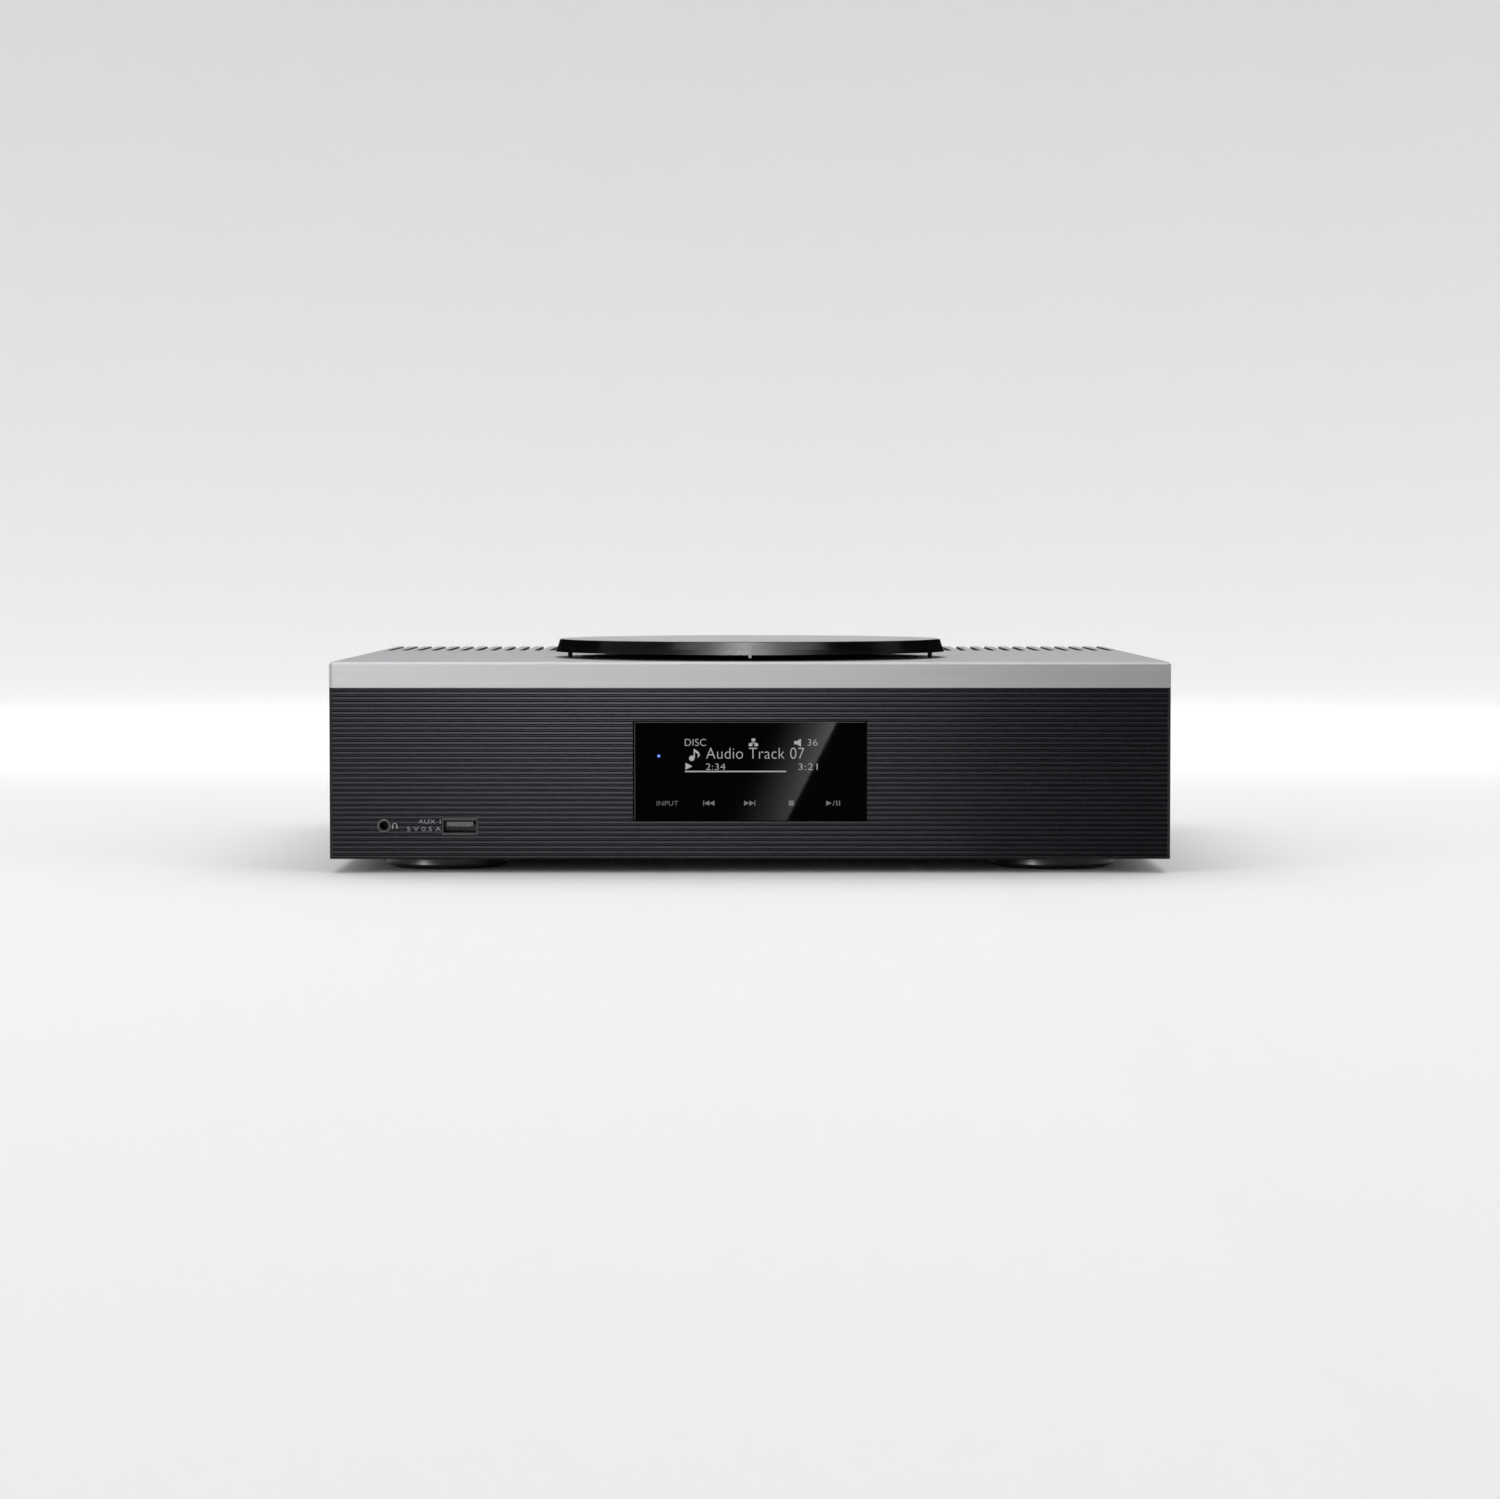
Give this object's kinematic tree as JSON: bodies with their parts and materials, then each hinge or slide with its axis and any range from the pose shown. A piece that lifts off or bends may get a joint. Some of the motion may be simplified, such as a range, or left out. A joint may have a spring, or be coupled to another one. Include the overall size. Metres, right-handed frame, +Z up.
{
  "type": "mini hifi receiver",
  "caption": "Low rectangular hi-fi receiver with a brushed top cover, ribbed black front, gloss display window, front sockets and a round swivelling lid over a disc well.",
  "frame": {"origin": "centre of the bounding box at floor level, under the feet", "axes": "+X to the right seen from the front, +Y towards the rear panel, +Z up; the front faces -Y"},
  "size_m": [0.36, 0.352, 0.0987],
  "materials": {
    "brushed_cover": "fine brushed, satin anodised",
    "black_panel": "satin black with fine ribs",
    "case_black": "satin black paint",
    "chassis_steel": "plated sheet",
    "black_screw": "black oxide",
    "steel_parts": "bright",
    "foot_black": "gloss black",
    "rubber_black": "matte",
    "window_black": "polished, nearly opaque",
    "board_green": "solder mask",
    "led_blue": "lit diffuser",
    "socket_black": "moulded",
    "tongue_grey": "moulded",
    "lid_gloss": "smoked, polished",
    "lid_base_black": "moulded, semi gloss",
    "magnet_grey": "nickel",
    "bush_black": "acetal",
    "well_black": "fine texture",
    "lens_clear": "coated lens in its holder",
    "gear_white": "acetal",
    "brass_parts": "plated",
    "shield_tin": "tinned",
    "fin_aluminium": "extruded",
    "winding_yellow": "tape wound",
    "capacitor_black": "sleeved",
    "ribbon_white": "film",
    "cap_black": "knurled",
    "cap_red": "knurled"
  },
  "bodies": {
    "case": {"top_cover": "brushed_cover", "front_panel": "black_panel", "side_panel_left": "case_black", "side_panel_right": "case_black", "rear_panel": "case_black", "bottom_chassis": "chassis_steel", "mechanism_base": "chassis_steel", "lan_jack": "chassis_steel", "usb_socket": "chassis_steel", "case_screws": "black_screw", "board_screws": "steel_parts", "mechanism_screws": "steel_parts", "guide_rods": "steel_parts", "spindle_motor": "steel_parts", "feed_motor": "steel_parts", "feet": "foot_black", "foot_pads": "rubber_black", "mechanism_dampers": "rubber_black", "window_gasket": "rubber_black", "lid_bumpers": "rubber_black", "display_window": "window_black", "display_module": "board_green", "touch_board": "board_green", "front_io_board": "board_green", "main_board": "board_green", "power_board": "board_green", "lid_sensor": "board_green", "standby_led": "led_blue", "headphone_jack": "socket_black", "mains_inlet": "socket_black", "optical_jack": "socket_black", "phono_jacks": "socket_black", "terminal_base": "socket_black", "usb_tongue": "tongue_grey", "pivot_bush": "bush_black", "disc_well": "well_black", "board_standoffs": "brass_parts", "speaker_posts": "brass_parts", "antenna_socket": "brass_parts", "network_module": "shield_tin", "heat_sink": "fin_aluminium", "transformer": "winding_yellow", "smoothing_capacitors": "capacitor_black", "ribbon_cables": "ribbon_white"},
    "lid": {"lid_cover": "lid_gloss", "lid_base": "lid_base_black", "lid_finger_mark": "steel_parts", "lid_shaft": "steel_parts", "lid_clip": "steel_parts", "lid_magnet": "magnet_grey"},
    "spindle": {"turntable_hub": "well_black", "spindle_shaft": "steel_parts"},
    "pickup": {"pickup_sled": "bush_black"},
    "lens": {"objective_lens": "lens_clear"},
    "feed_wheel": {"feed_gear": "gear_white"},
    "feed_drive": {"feed_pinion": "gear_white"},
    "cap_1": {"terminal_cap_1": "cap_black"},
    "cap_2": {"terminal_cap_2": "cap_red"},
    "cap_3": {"terminal_cap_3": "cap_black"},
    "cap_4": {"terminal_cap_4": "cap_red"}
  },
  "joints": [
    {"name": "lid_swivel", "type": "hinge", "parent": "case", "child": "lid", "pos_m": [-0.0202, -0.0007, 0.092], "axis": [0, 0, 1], "range_deg": [0, 150]},
    {"name": "disc_spin", "type": "hinge", "parent": "case", "child": "spindle", "pos_m": [0, -0.076, 0.08], "axis": [0, 0, 1], "continuous": true},
    {"name": "pickup_travel", "type": "slide", "parent": "case", "child": "pickup", "axis": [1, 0, 0], "range_m": [0, 0.034]},
    {"name": "lens_focus", "type": "slide", "parent": "pickup", "child": "lens", "axis": [0, 0, 1], "range_m": [-0.0005, 0.0005], "stiffness_N_per_m": 60},
    {"name": "feed_wheel_turn", "type": "hinge", "parent": "case", "child": "feed_wheel", "pos_m": [0.04, -0.0495, 0.063], "axis": [0, 0, 1], "range_deg": [-5, 410.8]},
    {"name": "feed_drive_turn", "type": "hinge", "parent": "case", "child": "feed_drive", "pos_m": [0.04, -0.0339, 0.0615], "axis": [0, 0, 1], "range_deg": [-1364.8, 12]},
    {"name": "cap_1_turn", "type": "hinge", "parent": "case", "child": "cap_1", "pos_m": [-0.10458, 0.171, 0.046], "axis": [0, 1, 0], "range_deg": [0, 360]},
    {"name": "cap_2_turn", "type": "hinge", "parent": "case", "child": "cap_2", "pos_m": [-0.08553, 0.171, 0.046], "axis": [0, 1, 0], "range_deg": [0, 360]},
    {"name": "cap_3_turn", "type": "hinge", "parent": "case", "child": "cap_3", "pos_m": [-0.06648, 0.171, 0.046], "axis": [0, 1, 0], "range_deg": [0, 360]},
    {"name": "cap_4_turn", "type": "hinge", "parent": "case", "child": "cap_4", "pos_m": [-0.04743, 0.171, 0.046], "axis": [0, 1, 0], "range_deg": [0, 360]}
  ],
  "couplings": [
    {"joint": "feed_wheel_turn", "follows": "pickup_travel", "rad_per_m": 208.33},
    {"joint": "feed_drive_turn", "follows": "pickup_travel", "rad_per_m": -694.44}
  ]
}
